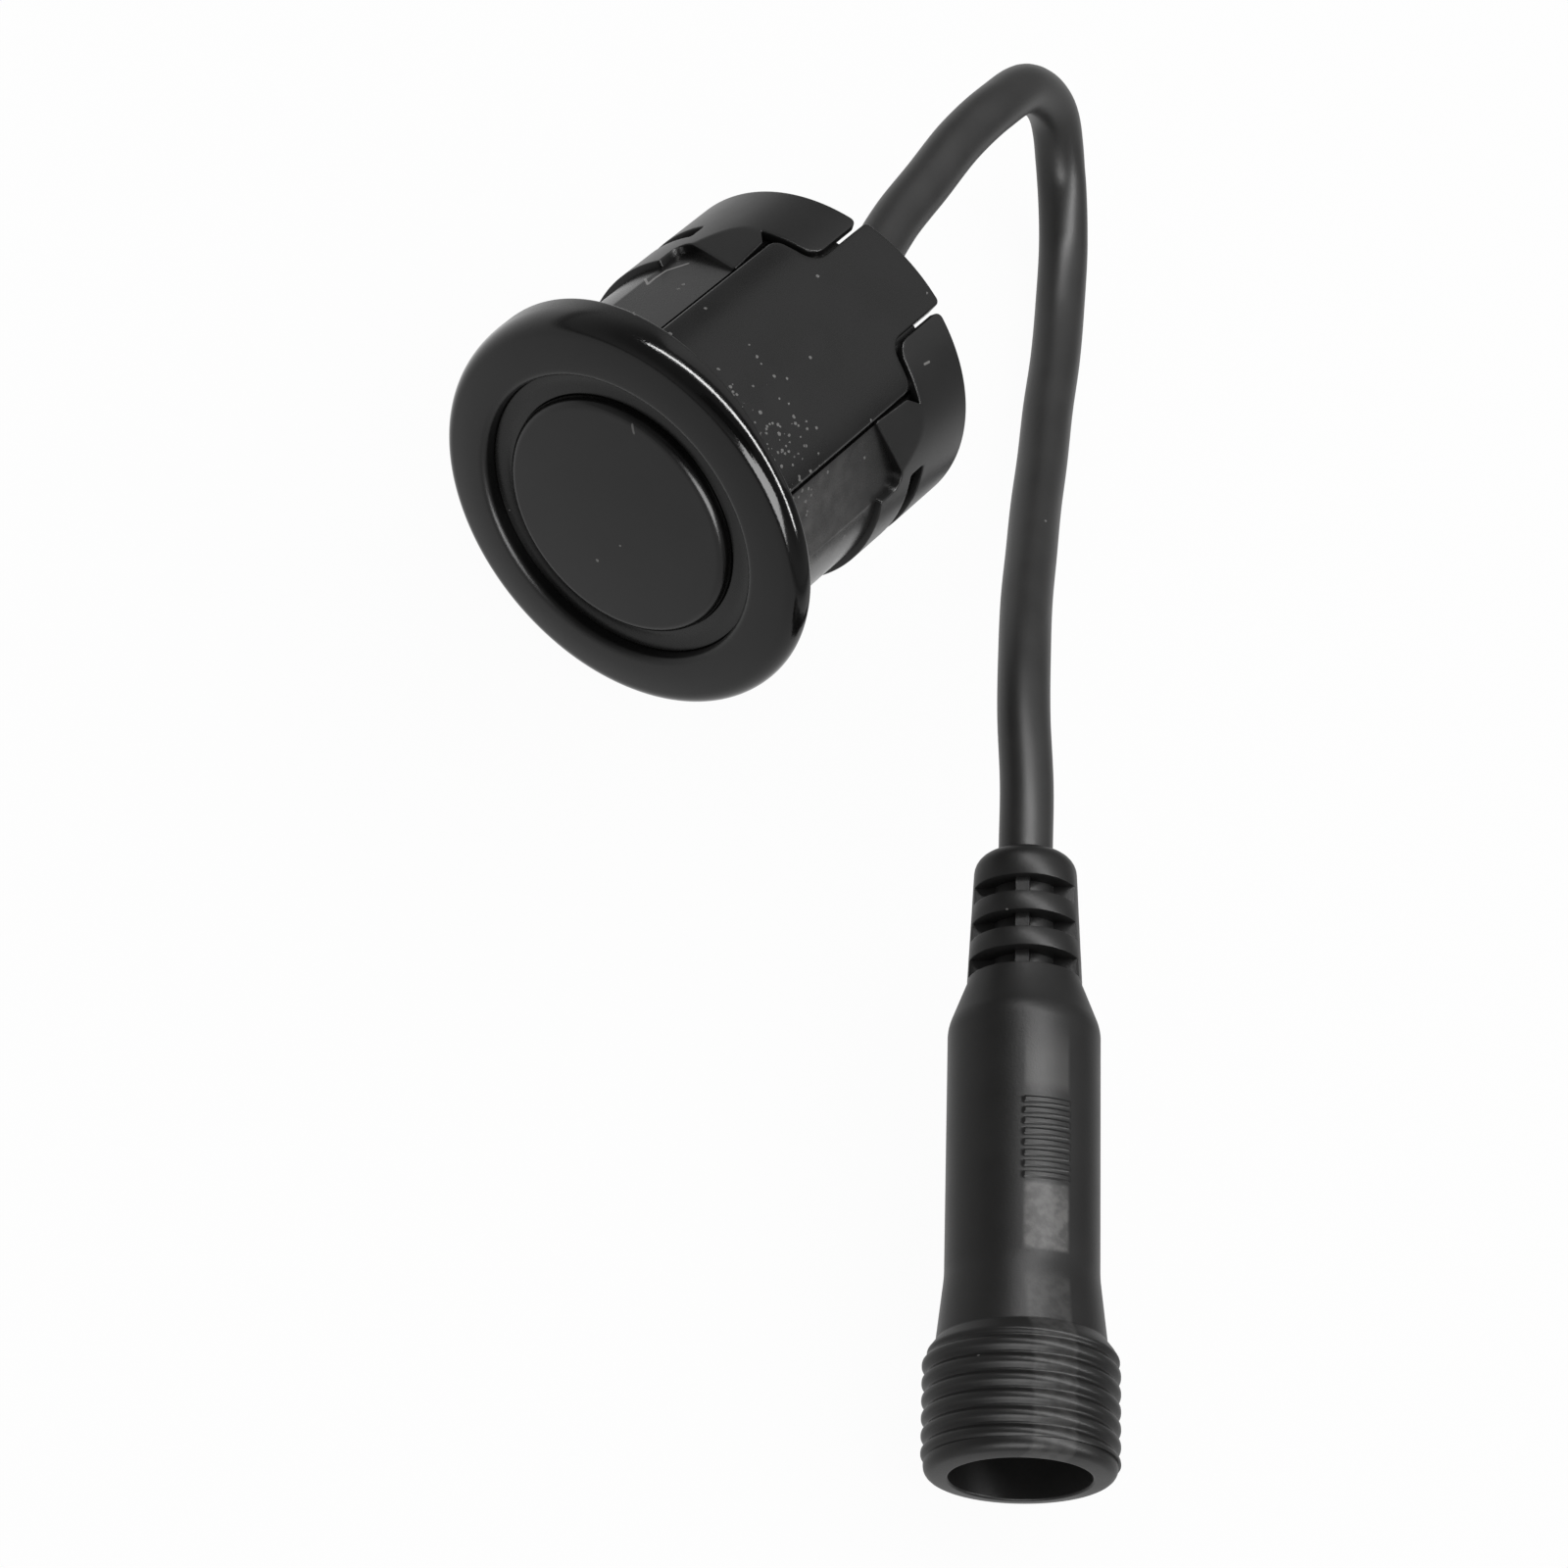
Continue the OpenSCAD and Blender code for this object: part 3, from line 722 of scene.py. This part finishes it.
def dense(loop, spacing):
    """A closed outline with its long sides cut into pieces no longer than the spacing."""
    side = np.roll(loop, -1, axis=0) - loop
    pieces = np.maximum(1, np.ceil(np.linalg.norm(side, axis=1) / spacing)).astype(int)
    start = np.repeat(np.arange(len(loop)), pieces)
    first = np.repeat(np.cumsum(pieces) - pieces, pieces)
    share = (np.arange(pieces.sum()) - first) / np.repeat(pieces, pieces)
    return loop[start] + share[:, None] * side[start]


def area(loop):
    """Area inside a closed outline, positive if it runs to the left."""
    ahead = np.roll(loop, -1, axis=0)
    return 0.5 * np.sum(loop[:, 0] * ahead[:, 1] - loop[:, 1] * ahead[:, 0])


def inward(loop):
    """Directions to the left of a closed outline at its points, so long that the sides move by one."""
    side = np.roll(loop, -1, axis=0) - loop
    side /= np.linalg.norm(side, axis=1)[:, None]
    after = np.stack([-side[:, 1], side[:, 0]], axis=-1)
    before = np.roll(after, 1, axis=0)
    return (before + after) / (1 + np.sum(before * after, axis=1))[:, None]


def inside(points, loops):
    """Which points lie inside the outlines: a line from them to the right crosses an odd number of sides."""
    start = np.vstack(loops)
    end = np.vstack([np.roll(loop, -1, axis=0) for loop in loops])
    height = points[:, 1, None]
    crossed = (start[:, 1] > height) != (end[:, 1] > height)
    rise = np.where(end[:, 1] == start[:, 1], 1, end[:, 1] - start[:, 1])
    at = start[:, 0] + (height - start[:, 1]) * (end[:, 0] - start[:, 0]) / rise
    return (crossed & (points[:, 0, None] < at)).sum(axis=1) % 2 == 1


def plate(outlines, edge, place, spacing):
    """A plate with rounded edges, bent on to the body. The outlines lie in the flat, the first its own and
    the others its openings. The edge's profile, a quarter circle on a wall, is carried along each of them.
    The top and the foot are filled with triangles. Place bends a flat point and its depth below the top."""
    loops = [dense(loop, spacing) for loop in outlines]
    loops = [loop if (area(loop) > 0) == (k == 0) else loop[::-1] for k, loop in enumerate(loops)]
    angle = np.linspace(0, np.pi / 2, 5)
    profile = [(0, far)] + list(zip(edge * (1 - np.cos(angle)), edge * (1 - np.sin(angle))))
    rings = np.stack([np.vstack([loop + inset * inward(loop) for loop in loops]) for inset, _ in profile])
    depth = np.array([depth for _, depth in profile])[:, None] + 0 * rings[:, :, 0]
    ends = np.cumsum([len(loop) for loop in loops])
    ahead = np.arange(1, ends[-1] + 1)
    ahead[ends - 1] = ends - [len(loop) for loop in loops]
    inner = [rings[-1][end - len(loop) : end] for end, loop in zip(ends, loops)]
    across, along = (np.arange(loops[0][:, k].min(), loops[0][:, k].max(), spacing) for k in (0, 1))
    lattice = np.stack(np.meshgrid(across, along), axis=-1).reshape(-1, 2)
    lattice = lattice[inside(lattice, inner)]
    apart = np.linalg.norm(lattice[:, None] - rings[-1][None], axis=2).min(axis=1)
    lattice = lattice[apart > 0.5 * spacing]
    flat = np.vstack([rings[-1], lattice])
    sides = np.stack([np.arange(ends[-1]), ahead], axis=-1)
    made = delaunay_2d_cdt(list(map(Vector, flat.tolist())), sides.tolist(), [], 4, weld)
    source = np.array([first[0] for first in made[3]])
    fill = source[np.array(made[2])]
    fill = fill[inside(flat[fill].mean(axis=1), inner)]
    count = ends[-1]
    levels = len(profile)
    row = np.arange(levels - 1)[:, None] * count
    start, end = row + sides[:, 0], row + sides[:, 1]
    wall = np.stack([start, end, end + count, start + count], axis=-1)
    top = fill + (levels - 1) * count
    foot = np.where(fill < count, fill, top + len(lattice))[:, ::-1]
    flat_points = np.vstack([rings.reshape(-1, 2), lattice, lattice])
    depths = np.concatenate([depth.reshape(-1), np.zeros(len(lattice)), np.full(len(lattice), far)])
    triangles = np.vstack([top, foot])
    return place(flat_points, depths), wall.reshape(-1, 4), triangles


def on_tongue(flat, depth):
    """The tongue's plan seen from above, laid on its cylinder: the walls stand upright."""
    radius = np.maximum(tongue_r - depth, tongue_r - tab_t)
    return np.stack([flat[:, 0], flat[:, 1], np.sqrt(radius**2 - flat[:, 0] ** 2)], axis=-1)


tongue_outline = mirrored(rounded([
    (0, -skirt_round, 0), (tongue_half, -skirt_round, 0), (tongue_half, tongue_back, tongue_round),
    (tab_half, tongue_back, tab_fillet), (tab_half, tab_back, tab_round), (0, tab_back, 0),
]))
tongue_points, tongue_wall, tongue_fill = plate([tongue_outline], mould_edge, on_tongue, tongue_spacing)


def flange_gloss(place):
    """The flange is polished, the body behind it and the lip round the groove satin."""
    from_axis = place.vector("MULTIPLY", (1, 0, 1)).vector("LENGTH", output="Value")
    behind = place.axis("Y").step(-0.4, 0.6)
    lip = from_axis.step(lip_r + 2 * lip_round, lip_r) * (1 - behind)
    return 0.11 + 0.17 * behind + 0.25 * lip


def tongue_dust(place):
    """Dust lies thickest on the tongue's foot, right of its middle, and thins out to the rear."""
    behind = place.axis("Y").step(0.0, 0.6)
    near = place.axis("Y").step(7.0, 0.8)
    right = place.axis("X").step(-4.0, 3.0)
    top = place.axis("Z").step(6.5, 9.0)
    return behind * (0.01 + 0.85 * (near * right * top))


def hairs(place, points, width=0.1):
    """Where a thin line lies: 1 where the nearest of the straight pieces between its points is within a
    width. The nearest spot on a piece is the foot of a perpendicular, kept between the piece's ends."""
    nearest = far
    for start, end in zip(points[:-1], points[1:]):
        run = Vector(end) - Vector(start)
        past = place.vector("SUBTRACT", start)
        pace = tuple(run / run.length_squared)
        share = past.vector("DOT_PRODUCT", pace, "Value").highest(0.0).lowest(1.0)
        foot = place.node("VectorMath", {"operation": "SCALE"}, {0: run, "Scale": share})
        nearest = past.vector("DISTANCE", foot, "Value").lowest(nearest)
    return nearest.step(width, 0.5 * width)


def panel_sheen_and_lint(place):
    """A cloudy lighter grey on the right flat, thickest by the flange, which is painted reflection of the
    bright tent, and a real lint hair on the left.
    """
    near = place.axis("Y").step(0.2, 1.0) * place.axis("Y").step(13.0, 4.0)
    cloud = noise(place, 0.9, 5.0).step(0.3, 0.75)
    flat_sheen = near * place.axis("X").step(5.9, 6.6) * (0.17 + 0.2 * cloud)
    return flat_sheen + 1.5 * hairs(place, lint)


# the right flat's lighter grey is painted reflection of the tent; the lint hair is real
housing_finish = moulded("housing_plastic", 0.005, flange_gloss, 0.1, 0.003, tongue_dust, panel_sheen_and_lint)
add_piece("housing_moulding", [shell, (tongue_points, tongue_wall), (tongue_points, tongue_fill)],
          housing_finish, "housing_plastic", "housing")


# Rubber ring
# A soft black ring is pressed between the housing and the cup, and keeps the cup's ringing out of the
# housing. Its front lies below the lip and shows as the floor of the groove round the sensing face.
ring_front = np.array(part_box("decoupling_ring"))[0, 1] / mm
ring_edge = 0.1
ring_dip = 0.12
ring_bow = 2
cup_r = 7.85
full_turn = np.radians(np.arange(0, 360, 2))
ring_section = rounded([
    (cup_r, ring_seat, 0), (cup_r, ring_front, ring_edge),
    ((cup_r + lip_r) / 2, ring_front + ring_dip, ring_bow),
    (lip_r, ring_front, ring_edge), (lip_r, ring_seat, 0),
])
ring_finish = moulded("ring_rubber", 0.005, 0.28, 0.2, 0.004)
add_piece("rubber_ring", [turned(ring_section, full_turn, closed=True)], ring_finish, "ring_rubber",
          "decoupling_ring")


# Sensing face
# The aluminium cup of the transducer, sprayed satin black: its floor is the membrane that rings, its rim
# sits behind the rubber ring. Inside lie the piezo disc, the damping pad, two cores and the potting.
face_y = np.array(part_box("transducer_cup"))[0, 1] / mm
face_round = 0.6
membrane_t = 0.8
cup_bore_r = 6.2
cup_flange_r = 8.5
cup_back = 7.4
cup_edge = 0.1
cup_corner = 0.3
cup_section = rounded([
    (0, face_y, 0), (cup_r, face_y, face_round), (cup_r, ring_seat, 0),
    (cup_flange_r, ring_seat, cup_edge), (cup_flange_r, cup_back, cup_edge), (cup_bore_r, cup_back, cup_edge),
    (cup_bore_r, face_y + membrane_t, cup_corner), (0, face_y + membrane_t, 0),
], 8)
face_tick = [(-3.02, face_y, 6.87), (-2.59, face_y, 6.47)]


def face_scratch(place):
    """A faint short scratch near the top of the sensing face."""
    return 0.5 * hairs(place, face_tick)


face_finish = moulded("face_paint", 0.005, 0.24, 0.08, 0.0015, wear_and_sheen=face_scratch)
add_piece("sensing_cup", [turned(cup_section, full_turn)], face_finish, "cup_paint", "transducer_cup")


def cloudy(name, first, second, size, roughness, relief):
    """A plain inner material: two tones in clouds of a size, and a relief of the same clouds."""
    finish, place = new_finish(name)
    cloud = noise(place, 1 / size, 5.0)
    coat(finish, mix(cloud, first, second), roughness + 0.2 * (cloud - 0.5), relief * cloud)
    return finish


dress("piezo_disc", cloudy("piezo_ceramic", (0.62, 0.58, 0.48, 1), (0.74, 0.71, 0.62, 1), 0.5, 0.55, 0.01))
dress("damping_pad", cloudy("pad_cork", (0.12, 0.07, 0.04, 1), (0.38, 0.25, 0.15, 1), 0.4, 0.9, 0.1))
dress("potting", cloudy("potting_silicone", (0.22, 0.22, 0.21, 1), (0.30, 0.30, 0.28, 1), 2.0, 0.35, 0.02))
dress("core_live", cloudy("core_red", (0.24, 0.012, 0.01, 1), (0.30, 0.02, 0.015, 1), 1.0, 0.4, 0.005))
dress("core_return", cloudy("core_white", (0.5, 0.5, 0.47, 1), (0.58, 0.58, 0.55, 1), 1.0, 0.4, 0.005))


# Rear cap
# A disc moulded from black plastic, which closes the body over the potting and lies flush with its end. The
# cable leaves through a short boss in its middle.
boss_back = np.array(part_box("rear_cap"))[1, 1] / mm
boss_r = 3.0
boss_foot = 0.25
boss_edge = 0.35
cap_front = 15.4
cap_edge = 0.15
cap_section = rounded([
    (0, cap_front, 0), (bore_r, cap_front, 0), (bore_r, housing_back, cap_edge),
    (boss_r, housing_back, boss_foot), (boss_r, boss_back, boss_edge), (0, boss_back, 0),
])
cap_finish = moulded("cap_plastic", 0.015, 0.4, 0.15, 0.005)
add_piece("rear_cap_disc", [turned(cap_section, full_turn)], cap_finish, "housing_plastic", "rear_cap")


# Retaining clip
# A springy black band pressed over the body from behind: two wings close round the tab, slanted windows
# leave the flats bare, pressed facets lead it in, and a slot in each flank lets the wings give way.
clip_low, clip_high = np.array(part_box("retaining_clip")) / mm
clip_r = clip_high[0]
clip_back = clip_high[1]
clip_front = clip_low[1]
clip_gap = 0.35
slot_back = tongue_back + clip_gap
wing_round = 0.5
side_slot_w = 1.35
side_slot_half = 5.05
side_slot_round = 0.2
side_slot_start = 0.1
window_half = 2.8
window_short = 0.2
window_long = 2.4
window_round = 0.9
window_inset = 0.6
notch_w = 0.65
notch_len = 1.0
notch_round = 0.25
notch_edge = 0.05
facet_turn = np.radians(44)
facet_slope = np.tan(np.radians(7.0))
facet_limit = 0.2
clip_corner = 0.15
clip_edge = 0.08
clip_spacing = 0.2
wing_mark = [(5.43, 16.26, 9.51), (5.5, 16.7, 9.47)]


def from_bottom(angle):
    """Length along the clip from the middle of its bottom to an angle from the top."""
    return clip_r * (np.pi - angle)


def at_width(x):
    """Length along the clip to a distance from the middle plane, on the upper half."""
    return from_bottom(np.arcsin(x / clip_r))


def clip_top(angle, along):
    """Radius of the clip's outside: round, cut on each shoulder by a pressed facet that deepens forwards."""
    facet = clip_r - np.maximum(0, slot_back - along) * facet_slope
    return np.minimum(clip_r, facet / np.maximum(np.cos(np.abs(angle) - facet_turn), facet_limit))


def on_clip(flat, depth):
    """The clip's flat shape, bent round the body from the bottom; its foot follows the body and the flats."""
    angle = np.pi - np.abs(flat[:, 0]) / clip_r
    angle = np.where(flat[:, 0] < 0, -angle, angle)
    radius = np.maximum(body_radius_at(angle), clip_top(angle, flat[:, 1]) - depth)
    return np.stack([radius * np.sin(angle), flat[:, 1], radius * np.cos(angle)], axis=-1)


window_reach = np.arcsin(window_half / clip_r)
upper = np.radians(flat_turn) + window_reach * np.array([-1, 1])
slope = (window_long - window_short) / (2 * window_half)
front = clip_front + window_short
deep = clip_front + window_long
by_tongue = at_width(tongue_half + clip_gap)
beside_tongue = front + slope * (at_width(tongue_half - window_inset) - by_tongue)
clip_half_outline = rounded([
    (0, front, 0),
    (from_bottom(np.pi - upper[0]), front, 0), (from_bottom(np.pi - upper[1]), deep, window_round),
    (from_bottom(np.pi - upper[1]), clip_front, clip_corner),
    (from_bottom(upper[1]), clip_front, clip_corner), (from_bottom(upper[1]), deep, window_round),
    (by_tongue, beside_tongue, clip_corner),
    (by_tongue, slot_back - notch_len, notch_round),
    (at_width(tongue_half + clip_gap + notch_w), slot_back, notch_edge),
    (at_width(tab_half + clip_gap), slot_back, tab_fillet),
    (at_width(tab_half + clip_gap), clip_back, wing_round),
    (0, clip_back, 0),
])
slot_front = slot_back - side_slot_w
slot_end = np.arccos(side_slot_half / clip_r)
slot_outline = rounded([
    (from_bottom(np.pi / 2), slot_front, 0),
    (from_bottom(slot_end), slot_front, side_slot_round), (from_bottom(slot_end), slot_back, side_slot_round),
    (from_bottom(np.pi - slot_end), slot_back, side_slot_round),
    (from_bottom(np.pi - slot_end), slot_front, side_slot_round),
    (from_bottom(np.pi / 2) - side_slot_start, slot_front, 0),
])
clip_points, clip_wall, clip_fill = plate(
    [mirrored(clip_half_outline), slot_outline, slot_outline * [-1, 1]], clip_edge, on_clip, clip_spacing)


def wing_scratch(place):
    """A short scratch on the right wing."""
    return hairs(place, wing_mark)


clip_finish = moulded("clip_plastic", 0.006, 0.36, 0.1, 0.004, wear_and_sheen=wing_scratch)
add_piece("snap_clip", [(clip_points, clip_wall), (clip_points, clip_fill)], clip_finish, "clip_plastic",
          "retaining_clip")
